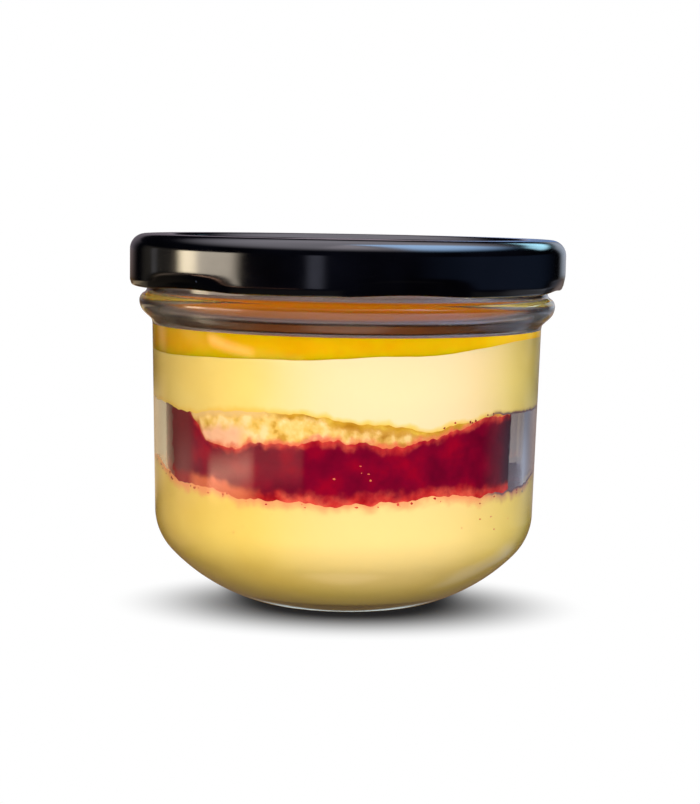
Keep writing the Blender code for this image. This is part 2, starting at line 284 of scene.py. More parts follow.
WALL = 2.3 * MM
BODY_RADIUS = 38.35 * MM
HEEL_TOP_RADIUS = 37.65 * MM
HEEL_TOP = 16.9 * MM
HEEL_RADIUS = 10.9 * MM
HEEL_TURN = math.radians(42.7)
FOOT_RADIUS = 20.1 * MM
FOOT_WIDTH = 2.6 * MM
PUNT = 1.2 * MM
FLOOR = 4.0 * MM
FLOOR_RINGS = (0, 8 * MM, 16 * MM)
WALL_TOP = 54 * MM
BEAD_RADIUS = 3.2 * MM
BEAD_CENTRE = (37.7 * MM, 58.0 * MM)
BEAD_CORNER = 1.6 * MM
BEAD_FOOT = 54.3 * MM
BEAD_TOP_TURN = math.radians(65)
BEAD_FLANK_TURN = math.radians(-48)
BODY_TOP = BEAD_FOOT - 0.7 * MM
NECK_RADIUS = 39.4 * MM
NECK_BOTTOM = 60.1 * MM
MOUTH_RADIUS = 36.2 * MM
MOUTH_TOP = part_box("jar_glass")[1].z
RIM_ROUND = 1.2 * MM
BEAD_GROOVE = 0.8 * MM
BEAD_GROOVE_HEIGHT = 1.7 * MM
GROOVE_BOTTOM = 54.4 * MM
GROOVE_TOP = 63 * MM
GLASS_STEPS = 192
FOOT_NICK = 0.12 * MM
STEPS_PER_NICK = 4
MIST_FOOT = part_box("fruit_jelly")[1].z - 0.5 * MM
MIST_RADIUS = 37.8 * MM
MIST_EDGE = 0.2 * MM
MIST_ROUGHNESS = 0.2
BLOOM_GRAIN = (6, 2)
BLOOM_ROUGHNESS = (0.01, 0.03)
GLASS_TINT = (0.97, 0.985, 0.98, 1)
GLASS_SHADOW = (0.95, 0.96, 0.955, 1)


def arc(centre, radius, start, end, steps):
    """Points on an arc in the (r, z) plane, angles in radians from the outward direction."""
    angles = [start + (end - start) * i / steps for i in range(steps + 1)]
    return [(centre[0] + radius * math.cos(a), centre[1] + radius * math.sin(a)) for a in angles]


def turn(name, profile, steps):
    """Draws a profile of (r, z) points vertex by vertex in edit mode and spins it round Z."""
    bpy.ops.object.select_all(action="DESELECT")
    bpy.ops.mesh.primitive_plane_add(size=MM)
    piece = bpy.context.object
    piece.name = name
    bpy.ops.object.mode_set(mode="EDIT")
    bpy.ops.mesh.select_mode(type="VERT")
    bpy.ops.mesh.select_all(action="SELECT")
    bpy.ops.mesh.merge(type="CENTER")
    bpy.ops.transform.translate(value=(profile[0][0], 0, profile[0][1]))
    for (r0, z0), (r1, z1) in zip(profile, profile[1:]):
        bpy.ops.mesh.extrude_vertices_move(TRANSFORM_OT_translate={"value": (r1 - r0, 0, z1 - z0)})
    bpy.ops.mesh.select_all(action="SELECT")
    bpy.ops.mesh.spin(steps=steps, angle=2 * math.pi, center=(0, 0, 0), axis=(0, 0, 1))
    bpy.ops.mesh.select_all(action="SELECT")
    bpy.ops.mesh.remove_doubles(threshold=0.002 * MM)
    bpy.ops.mesh.normals_make_consistent(inside=False)
    bpy.ops.object.mode_set(mode="OBJECT")
    return piece


def read_points(piece):
    points = np.empty(len(piece.data.vertices) * 3)
    piece.data.vertices.foreach_get("co", points)
    return points.reshape(-1, 3)


def move_points(piece, points):
    piece.data.vertices.foreach_set("co", points.ravel())
    piece.data.update()


def smooth_shade(piece, degrees=40):
    bpy.ops.object.select_all(action="DESELECT")
    piece.select_set(True)
    bpy.context.view_layer.objects.active = piece
    bpy.ops.object.shade_smooth_by_angle(angle=math.radians(degrees))


heel_centre = (HEEL_TOP_RADIUS - HEEL_RADIUS, HEEL_TOP)
heel_end = arc(heel_centre, HEEL_RADIUS, 0, -HEEL_TURN, 1)[-1]
inward = (-math.cos(HEEL_TURN), math.sin(HEEL_TURN))
to_foot = (FOOT_RADIUS - heel_end[0], -heel_end[1])
base_radius = (to_foot[0] ** 2 + to_foot[1] ** 2) / (
    2 * (to_foot[0] * inward[0] + to_foot[1] * inward[1]))
base_centre = (heel_end[0] + base_radius * inward[0], heel_end[1] + base_radius * inward[1])


def inner_radius(z, clear=0.0):
    """Radius of the jar's inner wall, or of a surface that keeps clear of it, at a height."""
    depth = WALL + clear
    lowest = HEEL_TOP_RADIUS - WALL
    share = np.clip((z - HEEL_TOP) / (BEAD_CENTRE[1] - HEEL_TOP), 0, 1)
    wall = lowest + (MOUTH_RADIUS - lowest) * share - clear
    heel = heel_centre[0] + np.sqrt(np.maximum((HEEL_RADIUS - depth) ** 2 - (z - heel_centre[1]) ** 2, 0))
    base = base_centre[0] + np.sqrt(np.maximum((base_radius - depth) ** 2 - (z - base_centre[1]) ** 2, 0))
    heel_foot = heel_centre[1] - (HEEL_RADIUS - depth) * math.sin(HEEL_TURN)
    return np.where(z >= HEEL_TOP, wall, np.where(z >= heel_foot, heel, base))


def neck_inside(z):
    """Radius of the inner wall round the bead, where the glass was blown out a little with it."""
    off_bead = (z - BEAD_CENTRE[1]) / BEAD_GROOVE_HEIGHT
    return float(inner_radius(z)) + BEAD_GROOVE * math.exp(-off_bead ** 2)


def floor_heights(low, steps):
    """Heights up the curved part of the bowl, closer together where it is flatter."""
    return [low + (HEEL_TOP - low) * (i / steps) ** 1.6 for i in range(steps + 1)]


inside = [(radius, FLOOR) for radius in FLOOR_RINGS]
inside += [(float(inner_radius(z)), z) for z in floor_heights(FLOOR, 24)]
inside += [(float(inner_radius(z)), z) for z in np.linspace(HEEL_TOP, WALL_TOP, 8)[1:]]
inside += [(neck_inside(z), z) for z in np.linspace(GROOVE_BOTTOM, GROOVE_TOP, 24)]
rim_z = MOUTH_TOP - RIM_ROUND
rim = arc((MOUTH_RADIUS + RIM_ROUND, rim_z), RIM_ROUND, math.pi, math.pi / 2, 8)
rim += arc((NECK_RADIUS - RIM_ROUND, rim_z), RIM_ROUND, math.pi / 2, 0, 8)
corner_centre = (BEAD_CENTRE[0] + BEAD_RADIUS - BEAD_CORNER, BEAD_CENTRE[1])
bead = arc(corner_centre, BEAD_CORNER, BEAD_TOP_TURN, 0, 12)
bead += arc(BEAD_CENTRE, BEAD_RADIUS, 0, BEAD_FLANK_TURN, 14)[1:]
neck = [(NECK_RADIUS, NECK_BOTTOM + 0.5 * MM), (NECK_RADIUS + 0.06 * MM, NECK_BOTTOM),
        (NECK_RADIUS + 0.25 * MM, NECK_BOTTOM - 0.35 * MM)]
body = [(BODY_RADIUS + 0.28 * MM, BEAD_FOOT + 0.2 * MM), (BODY_RADIUS + 0.08 * MM, BEAD_FOOT - 0.2 * MM),
        (BODY_RADIUS, BODY_TOP)]
body += [(BODY_RADIUS + (HEEL_TOP_RADIUS - BODY_RADIUS) * t, BODY_TOP + (HEEL_TOP - BODY_TOP) * t)
         for t in (0.2, 0.4, 0.6, 0.8)]
heel = arc(heel_centre, HEEL_RADIUS, 0, -HEEL_TURN, 18)
base_start = math.atan2(heel_end[1] - base_centre[1], heel_end[0] - base_centre[0])
base_end = math.atan2(-base_centre[1], FOOT_RADIUS - base_centre[0])
base = arc(base_centre, base_radius, base_start, base_end, 20)[1:-1]
foot = [(FOOT_RADIUS + 0.25 * MM, 0.25 * MM), (FOOT_RADIUS - 0.1 * MM, 0.08 * MM),
        (FOOT_RADIUS - 0.5 * MM, 0), (FOOT_RADIUS - FOOT_WIDTH, 0)]
punt = [(FOOT_RADIUS - FOOT_WIDTH - 0.5 * MM, 0.15 * MM), (FOOT_RADIUS - 1.6 * FOOT_WIDTH, 0.8 * MM),
        (FOOT_RADIUS - 2 * FOOT_WIDTH, PUNT), (10 * MM, PUNT + 0.1 * MM), (0, PUNT + 0.15 * MM)]
jar = turn("glass_jar", inside + rim + neck + bead + body + heel + base + foot + punt, GLASS_STEPS)

points = read_points(jar)
on_foot = points[:, 2] < 0.01 * MM
step_of = np.round(np.degrees(np.arctan2(points[:, 0], -points[:, 1])) * GLASS_STEPS / 360).astype(int)
points[on_foot & (step_of % STEPS_PER_NICK == 0), 2] += FOOT_NICK
move_points(jar, points)
smooth_shade(jar)


def shader_noise(tree, size, detail):
    """A noise from 0 to 1 whose grains are about so many millimetres across, with finer detail."""
    texture = tree.nodes.new("ShaderNodeTexNoise")
    texture.inputs["Scale"].default_value = 1 / (size * MM)
    texture.inputs["Detail"].default_value = detail
    tree.links.new(on_piece(tree), texture.inputs["Vector"])
    return texture.outputs["Fac"]


def along(tree, axis):
    """How far a point lies along the piece's own X, Y or Z."""
    split = tree.nodes.new("ShaderNodeSeparateXYZ")
    tree.links.new(on_piece(tree), split.inputs[0])
    return split.outputs[axis]


def spread(tree, value, low, high):
    """A value from 0 to 1, spread evenly from low to high."""
    node = tree.nodes.new("ShaderNodeMapRange")
    node.inputs["To Min"].default_value = low
    node.inputs["To Max"].default_value = high
    tree.links.new(value, node.inputs["Value"])
    return node.outputs["Result"]


glass, tree, clear = new_material("jar_glass")
clear.inputs["Base Color"].default_value = GLASS_TINT
# The neck's inside is misted over the jelly, and the outside has the faint bloom of handling
off_axis = vector_step(tree, "LENGTH", vector_step(tree, "MULTIPLY", on_piece(tree), (1, 1, 0)))
misted = times(tree, eased_range(tree, along(tree, "Z"), MIST_FOOT, MIST_FOOT + 2 * MIST_EDGE),
               eased_range(tree, off_axis, MIST_RADIUS + MIST_EDGE, MIST_RADIUS - MIST_EDGE))
bloom = spread(tree, shader_noise(tree, *BLOOM_GRAIN), *BLOOM_ROUGHNESS)
tree.links.new(math_step(tree, "MULTIPLY_ADD", misted, MIST_ROUGHNESS, bloom), clear.inputs["Roughness"])
clear.inputs["IOR"].default_value = 1.5
clear.inputs["Transmission Weight"].default_value = 1.0
# Lamps shine straight through the glass
passed = tree.nodes.new("ShaderNodeBsdfTransparent")
passed.inputs["Color"].default_value = GLASS_SHADOW
ray = tree.nodes.new("ShaderNodeLightPath")
glass_wall = mix_shaders(tree, ray.outputs["Is Shadow Ray"], clear, passed)
tree.links.new(glass_wall.outputs[0], tree.nodes["Material Output"].inputs["Surface"])
jar.data.materials.append(glass)
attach(jar, "root")
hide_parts("jar_glass")

# ------------------------------------------------------------------ lower custard
# Set custard that fills the bowl and wets the glass, with the slow dimples of a spooned cream.
# A round blank is shaped between the floor and the line where the cake lies on it.

# Each boundary between two layers is a line round the glass, as points of an azimuth in degrees (0 in
# front, + to the right) and a height in millimetres.
CUSTARD_LINE = ((-73, 28.0), (-64, 26.0), (-55, 24.9), (-43, 24.8), (-37, 24.4), (-31.5, 23.2),
                (-26, 23.9), (2, 23.4), (26, 24.8), (48, 24.0), (62, 24.2), (85, 26.2), (120, 24.6),
                (162, 22.8), (205, 24.4), (250, 25.8))
CUSTARD_LEVEL = 24.2 * MM
CUSTARD_GRAINS = ((0.5, 3.1, 1), (0.4, 1.1, 2))
REACH = 0.25 * MM  # food runs this far into the glass, so that no air shows between them
DIMPLE_DEPTH = 0.05 * MM
DIMPLE_SIZE = 7 * MM
RELIEF_START, RELIEF_RISE = 0.7, 0.25  # shares of the radius over which a layer's relief sets in
SAG = 0.4 * MM  # a layer that stands off the glass sags by up to this much at its foot
FOOD_STEPS = 600
FACES = (0.0, 0.25, 0.5, 0.7, 0.84, 0.92, 0.965, 0.99, 1.0)  # shares of the radius with a ring of points


def smooth(t):
    t = np.clip(t, 0, 1)
    return t * t * (3 - 2 * t)


def line_height(line, azimuth):
    """Height of a boundary at the glass, eased from each of its points to the next."""
    start = line[0][0]
    azimuth = (azimuth - start) % 360 + start
    height = np.zeros_like(azimuth)
    ring = line + ((start + 360, line[0][1]),)
    for (a0, h0), (a1, h1) in zip(ring, ring[1:]):
        here = (azimuth >= a0) & (azimuth <= a1)
        height[here] = h0 + (h1 - h0) * smooth((azimuth[here] - a0) / (a1 - a0))
    return height * MM


def grain(points, size, seed):
    """Blender's smooth noise at a grain size, one value from -1 to 1 for each point."""
    shift = Vector((seed * 7.3, seed * 3.1, seed * 5.7))
    return np.array([noise.noise(Vector(p) / size + shift) for p in points])


def level_at(line, centre_level, share, azimuth, power=1.5):
    """Height of a boundary at a share of the radius, from its level in the middle to its line."""
    return centre_level + (line_height(line, azimuth) - centre_level) * share ** power


def blank(name, face_shares, side_steps):
    """A puck of radius 1 mm and height 1 mm with rings on both faces and its side."""
    top = [(share * MM, MM) for share in face_shares]
    side = [(MM, MM * (1 - i / side_steps)) for i in range(1, side_steps)]
    bottom = [(share * MM, 0) for share in reversed(face_shares)]
    return turn(name, top + side + bottom, FOOD_STEPS)


def flat_noise(share, azimuth, size, seed):
    """Noise over the layers' plan, the same for every piece that shares a boundary."""
    a = np.radians(azimuth)
    radius = share * MOUTH_RADIUS
    plan = np.stack([radius * np.sin(a), -radius * np.cos(a), np.zeros_like(a)], axis=1)
    return grain(plan, size, seed)


def ragged(share, azimuth, grains):
    """Unevenness of a boundary from grains that each have a height and a size in mm and a seed."""
    return MM * sum(height * flat_noise(share, azimuth, size * MM, seed) for height, size, seed in grains)


def cake_bottom(share, azimuth):
    return level_at(CUSTARD_LINE, CUSTARD_LEVEL, share, azimuth) + ragged(share, azimuth, CUSTARD_GRAINS)


def shape_layer(piece, bottom, top, relief):
    """Fits a blank between two boundaries and just into the glass, and notes how far each point lies
    above the lower boundary and below the upper one, in millimetres, for its material."""
    unit = read_points(piece) / MM
    share = np.hypot(unit[:, 0], unit[:, 1])
    azimuth = np.degrees(np.arctan2(unit[:, 0], -unit[:, 1]))
    low, high = bottom(share, azimuth), top(share, azimuth)
    z = low + (high - low) * unit[:, 2]
    radius = inner_radius(z, -REACH)
    spot = np.stack([unit[:, 0] * radius, unit[:, 1] * radius, z], axis=1)
    dent = relief(spot) * smooth((share - RELIEF_START) / RELIEF_RISE)
    spot[:, :2] *= (1 - dent / np.maximum(radius, MM))[:, None]
    under = unit[:, 2] < 0.001
    deep = np.maximum(dent - 2 * REACH, 0) * under
    spot[:, 2] -= np.minimum(deep, SAG)
    move_points(piece, spot)
    for name, value in (("above_lower", (z - low) / MM), ("below_upper", (high - z) / MM)):
        piece.data.attributes.new(name, "FLOAT", "POINT").data.foreach_set("value", value)
    smooth_shade(piece, 60)


def custard_relief(spot):
    """Slow dimples of a spooned cream, no deeper than the food reaches into the glass."""
    return DIMPLE_DEPTH * (1 + grain(spot, DIMPLE_SIZE, 3))


custard_lower = blank("custard_bottom_layer", FACES, 44)
shape_layer(custard_lower, lambda share, azimuth: np.full_like(share, FLOOR - REACH), cake_bottom,
            custard_relief)

# Custard is a little darker in streaks, paler on its front with painted light, and darker low in the bowl
# with painted shade. Where it meets the cake it is stained, and painted shade makes that stain darker
# beside the air pocket on the right and darkens the custard's open edge there. A grain has its size in
# mm and its detail. From and to are places along the lit side, Z and X, and for the edge a distance from
# the cake in mm.
STREAK_GRAIN = (8, 3)
STREAK_TINT = (0.97, 0.94, 0.86)
# Painted light: the side of the custard that faces front is paler
PAINTED_LIGHT_SIDE = (math.sin(math.radians(15)), -math.cos(math.radians(15)), 0)
PAINTED_LIGHT_FROM_TO = (25 * MM, 36 * MM)
# Painted shade: the custard is darker low in the bowl
PAINTED_SHADE_LOW_FROM_TO = (10 * MM, 2 * MM)
PAINTED_LOW_SHADE = 0.52
STAIN_GRAIN = (3, 3)
# Painted shade beside the air pocket: the stain is darker there and the custard's open edge is shaded grey
POCKET_STAIN_AND_SHADE_FROM_TO = (24.5 * MM, 28.5 * MM)
PAINTED_LEDGE_SHADE_FROM_TO = (0.6, 0.1)
PAINTED_LEDGE_SHADE = (0.16, 0.09, 0.11)


def ramp(tree, source, stops):
    """A colour ramp over (position, colour) stops."""
    node = tree.nodes.new("ShaderNodeValToRGB")
    while len(node.color_ramp.elements) > 1:
        node.color_ramp.elements.remove(node.color_ramp.elements[-1])
    node.color_ramp.elements[0].position = stops[0][0]
    node.color_ramp.elements[0].color = (*stops[0][1], 1)
    for position, colour in stops[1:]:
        node.color_ramp.elements.new(position).color = (*colour, 1)
    tree.links.new(source, node.inputs[0])
    return node.outputs["Color"]


def attribute(tree, name):
    """The value that a piece's mesh holds under a name."""
    node = tree.nodes.new("ShaderNodeAttribute")
    node.attribute_name = name
    return node.outputs["Fac"]


def mix_colour(tree, factor, first, second):
    """A blend of two colours, each a socket or a value."""
    node = tree.nodes.new("ShaderNodeMix")
    node.data_type = "RGBA"
    tree.links.new(factor, node.inputs["Factor"])
    for slot, value in ((node.inputs[6], first), (node.inputs[7], second)):
        feed(tree, slot, (*value, 1) if isinstance(value, tuple) else value)
    return node.outputs[2]


def layered(tree, colour, *coats):
    """A colour with others over it, each given as the mask of where it lies and the colour itself."""
    for mask, coat in coats:
        colour = mix_colour(tree, mask, colour, coat)
    return colour


# A colour that follows a boundary between layers, with an edge made uneven by a noise: cream, cake and
# sponge all have such edges. Distances and unevenness are in millimetres.
ragged_edge = bpy.data.node_groups.new("ragged_edge", "ShaderNodeTree")
for label in ("Distance", "Grain Scale", "Grain Detail", "Unevenness", "Ends At", "Full At"):
    ragged_edge.interface.new_socket(label, in_out="INPUT", socket_type="NodeSocketFloat")
ragged_edge.interface.new_socket("Mask", in_out="OUTPUT", socket_type="NodeSocketFloat")
given = ragged_edge.nodes.new("NodeGroupInput").outputs
edge_grain = ragged_edge.nodes.new("ShaderNodeTexNoise")
ragged_edge.links.new(on_piece(ragged_edge), edge_grain.inputs["Vector"])
ragged_edge.links.new(given["Grain Scale"], edge_grain.inputs["Scale"])
ragged_edge.links.new(given["Grain Detail"], edge_grain.inputs["Detail"])
uneven = math_step(ragged_edge, "MULTIPLY_ADD", edge_grain.outputs["Fac"], given["Unevenness"],
                   given["Distance"])
eased_edge = ragged_edge.nodes.new("ShaderNodeMapRange")
eased_edge.interpolation_type = "SMOOTHSTEP"
for label, value in (("Value", uneven), ("From Min", given["Ends At"]), ("From Max", given["Full At"])):
    ragged_edge.links.new(value, eased_edge.inputs[label])
ragged_edge.links.new(eased_edge.outputs["Result"],
                      ragged_edge.nodes.new("NodeGroupOutput").inputs["Mask"])


def edge_mask(tree, boundary, size, detail, unevenness, ends_at, full_at):
    """The ragged edge group along the lower or upper boundary of a layer."""
    node = tree.nodes.new("ShaderNodeGroup")
    node.node_tree = ragged_edge
    for label, value in (("Distance", attribute(tree, boundary)), ("Grain Scale", 1 / (size * MM)),
                         ("Grain Detail", detail), ("Unevenness", unevenness),
                         ("Ends At", ends_at), ("Full At", full_at)):
        feed(tree, node.inputs[label], value)
    return node.outputs["Mask"]


def custard_material(name, cream_colour, painted_front_light, boundary, stain_depth, stain, pocket_stain_and_shade):
    """Custard that is stained within so many millimetres of its boundary with the cake, with painted light
    on its front and painted shade low in the bowl and beside the air pocket.
    """
    material, tree, cream = new_material(name)
    streak = tuple(channel * share for channel, share in zip(cream_colour, STREAK_TINT))
    tone = ramp(tree, shader_noise(tree, *STREAK_GRAIN), ((0.3, streak), (0.65, cream_colour)))
    painted_light_reach = vector_step(tree, "DOT_PRODUCT", on_piece(tree), PAINTED_LIGHT_SIDE)
    at_pocket_shade = eased_range(tree, along(tree, "X"), *POCKET_STAIN_AND_SHADE_FROM_TO)
    colour = layered(
        tree, tone,
        # painted light: paler on the front
        (eased_range(tree, painted_light_reach, *PAINTED_LIGHT_FROM_TO), painted_front_light),
        # painted shade: darker low in the bowl
        (eased_range(tree, along(tree, "Z"), *PAINTED_SHADE_LOW_FROM_TO),
         tuple(PAINTED_LOW_SHADE * channel for channel in cream_colour)),
        # the stain, darkened with painted shade beside the air pocket
        (edge_mask(tree, boundary, *STAIN_GRAIN, stain_depth, stain_depth * 1.25, stain_depth * 0.4),
         mix_colour(tree, at_pocket_shade, stain, pocket_stain_and_shade)),
        # painted shade on the open edge beside the air pocket
        (times(tree, at_pocket_shade, eased_range(tree, attribute(tree, boundary), *PAINTED_LEDGE_SHADE_FROM_TO)), PAINTED_LEDGE_SHADE))
    tree.links.new(colour, cream.inputs["Base Color"])
    cream.inputs["Roughness"].default_value = 0.5
    cream.inputs["Specular IOR Level"].default_value = 0.08
    return material


custard_lower.data.materials.append(custard_material(
    "custard_over_floor", cream_colour=(0.93, 0.69, 0.17), painted_front_light=(0.93, 0.7, 0.27), boundary="below_upper",
    stain_depth=3.0, stain=(0.93, 0.36, 0.15), pocket_stain_and_shade=(0.55, 0.2, 0.14)))
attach(custard_lower, "root")
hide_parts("custard_lower")

# ------------------------------------------------------------------ berry-soaked cake
# Cake soaked crimson with berry syrup, coarse crumbed along both of its edges. It was cut a little
# short: a thin film of air shows at its left end, and a greyish pocket at its right.

SOAK_LINE = ((-53, 39.4), (-48, 37.0), (-43, 33.2), (-33, 32.6), (-25.5, 34.2), (-14, 33.9), (-8, 35.1),
             (4, 34.6), (16, 33.9), (26, 35.4), (35, 36.9), (46, 38.7), (100, 38.6), (128, 34.2),
             (165, 33.0), (200, 34.8), (238, 38.4))
CAKE_LINE = ((-66, 39.4), (-56, 38.3), (-50, 38.3), (-40, 39.2), (-28, 39.7), (-12, 39.6), (8, 38.1),
             (25, 36.7), (35, 37.7), (46, 38.8), (62, 38.5), (95, 38.4), (140, 37.3), (182, 38.8),
             (240, 38.0))
SOAK_LEVEL = 33.6 * MM
CAKE_LEVEL = 38.2 * MM
SOAK_GRAINS = ((0.6, 2.6, 6), (0.45, 0.9, 7))
CAKE_GRAINS = ((0.4, 3.4, 4), (0.3, 1.2, 5))
THINNEST = 0.03 * MM

# Where the cake stands off the glass: the azimuths in degrees at which the air begins, is deepest
# from and to, and ends
POCKET = (55, 69, 118, 128)
POCKET_DEPTH = 3.0 * MM
FILM = (-140, -130, -66, -56)
FILM_DEPTH = 0.12 * MM
CRUMB_DENT = 0.08 * MM
COARSE_CRUMB = 1.6 * MM
FINE_CRUMB = 0.7 * MM

# Colours of the soaked cake. Beside the air pocket on the right it is darkened with painted shadow and
# then greyed with a painted reflection of the pocket, and its far left is darkened with painted shade.
# A grain has its size in mm and its detail. An edge has its grain, how uneven it is, and how far from the
# boundary its colour ends and is full, in mm. From and to are places along X.
SYRUP_GRAIN = (4.5, 3)
SYRUP = ((0.3, (0.13, 0.001, 0.017)), (0.5, (0.2, 0.001, 0.02)), (0.7, (0.3, 0.001, 0.018)))
CRUMBED_GRAIN = (3.2, 7)
CRUMBED = ((0.3, (0.36, 0.006, 0.012)), (0.47, (0.6, 0.035, 0.03)), (0.68, (0.8, 0.12, 0.07)))
LOW_EDGE = (2.6, 5, 3.6, 4.2, 1.8)
TOP_EDGE = (2.6, 5, 3.2, 3.0, 1.0)
CORAL_EDGE = (2.6, 5, 1.5, 3.6, 1.8)
CORAL = (0.7, 0.16, 0.07)
CORAL_FROM_TO = (-14 * MM, -19 * MM)
# Painted shade at the cake's far left, on its body and on its coral edge
PAINTED_SHADE_LEFT = (0.18, 0.02, 0.028)
PAINTED_SHADE_LEFT_EDGE = (0.33, 0.014, 0.02)
PAINTED_SHADE_LEFT_FROM_TO = (-26.5 * MM, -28.5 * MM)
# Painted shadow on the cake beside the air pocket
PAINTED_POCKET_SHADOW = (0.05, 0.012, 0.025)
PAINTED_POCKET_SHADOW_FROM_TO = (25 * MM, 30 * MM)
# Painted reflection: the cake's edge by the pocket takes the grey that the glass reflects there
PAINTED_POCKET_REFLECTION = (0.15, 0.13, 0.165)
PAINTED_POCKET_REFLECTION_FROM_TO = (31.2 * MM, 33.0 * MM)


def cake_top(share, azimuth):
    return level_at(CAKE_LINE, CAKE_LEVEL, share, azimuth) + ragged(share, azimuth, CAKE_GRAINS)


def soak_top(share, azimuth):
    soaked = level_at(SOAK_LINE, SOAK_LEVEL, share, azimuth, 6) + ragged(share, azimuth, SOAK_GRAINS)
    return np.minimum(soaked, cake_top(share, azimuth) - THINNEST)


def crumb_relief(spot):
    """Crumb dimples, and how far the cake stands off the glass."""
    azimuth = np.degrees(np.arctan2(spot[:, 0], -spot[:, 1]))
    lumps = grain(spot, COARSE_CRUMB, 8) + 0.6 * grain(spot, FINE_CRUMB, 9)
    dent = CRUMB_DENT * (1 + np.clip(lumps, -1, 1))
    for (begins, deep_from, deep_to, ends), depth in ((POCKET, POCKET_DEPTH), (FILM, FILM_DEPTH)):
        rise = smooth((azimuth - begins) / (deep_from - begins))
        dent = dent + (REACH + depth) * rise * smooth((ends - azimuth) / (ends - deep_to))
    return dent


berry_cake = blank("berry_soaked_cake", FACES, 40)
shape_layer(berry_cake, cake_bottom, soak_top, crumb_relief)

berry, tree, soaked = new_material("berry_cake")
across = along(tree, "X")
crumbed = ramp(tree, shader_noise(tree, *CRUMBED_GRAIN), CRUMBED)
coral = times(tree, eased_range(tree, across, *CORAL_FROM_TO), edge_mask(tree, "above_lower", *CORAL_EDGE))
colour = layered(
    tree, ramp(tree, shader_noise(tree, *SYRUP_GRAIN), SYRUP),
    # painted shadow beside the air pocket
    (eased_range(tree, across, *PAINTED_POCKET_SHADOW_FROM_TO), PAINTED_POCKET_SHADOW),
    (edge_mask(tree, "above_lower", *LOW_EDGE), crumbed),
    (edge_mask(tree, "below_upper", *TOP_EDGE), crumbed),
    (coral, CORAL),
    # painted shade at the far left
    (eased_range(tree, across, *PAINTED_SHADE_LEFT_FROM_TO), mix_colour(tree, coral, PAINTED_SHADE_LEFT, PAINTED_SHADE_LEFT_EDGE)),
    # painted reflection of the pocket's grey
    (eased_range(tree, across, *PAINTED_POCKET_REFLECTION_FROM_TO), PAINTED_POCKET_REFLECTION))
tree.links.new(colour, soaked.inputs["Base Color"])
soaked.inputs["Roughness"].default_value = 0.5
soaked.inputs["Specular IOR Level"].default_value = 0.05
berry_cake.data.materials.append(berry)
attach(berry_cake, "root")
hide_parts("berry_cake")

# ------------------------------------------------------------------ plain sponge
# The top of the same cake, which the syrup didn't reach: golden crumb with open pores, browner to the
# right, under a thin baked crust. The syrup has drawn a coral edge and a pink patch into its left.

# Gold and brown run from the pores to the crumb. Grains, edges and places are given as for the soaked
# cake, and the blush lies where its grain is from and to these values.
PORE_GRAIN = (2.6, 5)
GOLD = ((0.36, (0.6, 0.32, 0.04)), (0.45, (0.82, 0.52, 0.11)), (0.55, (0.93, 0.63, 0.2)),
        (0.66, (0.96, 0.72, 0.34)))
BROWN = ((0.36, (0.34, 0.14, 0.015)), (0.46, (0.52, 0.27, 0.04)), (0.57, (0.7, 0.42, 0.1)),
         (0.68, (0.86, 0.6, 0.24)))
BROWN_FROM_TO = (-8 * MM, 8 * MM)
CRUST_GRAIN = (4.0, 4)
CRUST = ((0.35, (0.42, 0.19, 0.012)), (0.5, (0.6, 0.33, 0.03)), (0.65, (0.76, 0.52, 0.07)))
CRUST_EDGE = (2.6, 3, 3.6, 3.5, 1.9)
DEEP_CRUST = (0.55, 0.26, 0.04)
DEEP_CRUST_EDGE = (2.6, 3, 4.0, 4.4, 2.6)
SOFT_CRUST = (0.84, 0.56, 0.22)
SOFT_CRUST_FROM_TO = (-9 * MM, -17 * MM)
SYRUP_EDGE = (2.2, 4, 3.4, 3.1, 1.3)
SYRUP_CORAL = (0.78, 0.17, 0.08)
SYRUP_BROWN = (0.5, 0.17, 0.07)
SYRUP_BROWN_FROM_TO = (-24 * MM, -26.5 * MM)
BLUSH = (0.86, 0.42, 0.3)
BLUSH_GRAIN = (9, 2)
BLUSH_FROM_TO = (0.52, 0.66)
PINK = (0.96, 0.54, 0.32)
PINK_EDGE = (2.6, 3, 2.0, 3.0, 5.0)
PINK_FROM_TO = (-16.5 * MM, -19.5 * MM)

sponge_layer = blank("plain_sponge", FACES, 24)
shape_layer(sponge_layer, soak_top, cake_top, crumb_relief)

sponge, tree, crumb = new_material("sponge")
across = along(tree, "X")
pores = shader_noise(tree, *PORE_GRAIN)
browner = eased_range(tree, across, *BROWN_FROM_TO)
crust = mix_colour(tree, eased_range(tree, across, *SOFT_CRUST_FROM_TO),
                   ramp(tree, shader_noise(tree, *CRUST_GRAIN), CRUST), SOFT_CRUST)
stained = edge_mask(tree, "above_lower", *SYRUP_EDGE)
blush = eased_range(tree, shader_noise(tree, *BLUSH_GRAIN), *BLUSH_FROM_TO)
pink = times(tree, eased_range(tree, across, *PINK_FROM_TO), edge_mask(tree, "below_upper", *PINK_EDGE))
colour = layered(
    tree, mix_colour(tree, browner, ramp(tree, pores, GOLD), ramp(tree, pores, BROWN)),
    (times(tree, browner, edge_mask(tree, "below_upper", *DEEP_CRUST_EDGE)), DEEP_CRUST),
    (edge_mask(tree, "below_upper", *CRUST_EDGE), crust),
    (times(tree, blush, stained), BLUSH),
    (pink, PINK),
    (stained, mix_colour(tree, eased_range(tree, across, *SYRUP_BROWN_FROM_TO), SYRUP_CORAL, SYRUP_BROWN)))
tree.links.new(colour, crumb.inputs["Base Color"])
crumb.inputs["Roughness"].default_value = 0.8
crumb.inputs["Specular IOR Level"].default_value = 0.05
sponge_layer.data.materials.append(sponge)
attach(sponge_layer, "root")
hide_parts("sponge")

# ------------------------------------------------------------------ upper custard
# The same custard, spooned over the cake and levelled at a slant before the jelly went on. Syrup has
# stained it only where it touches the cake.

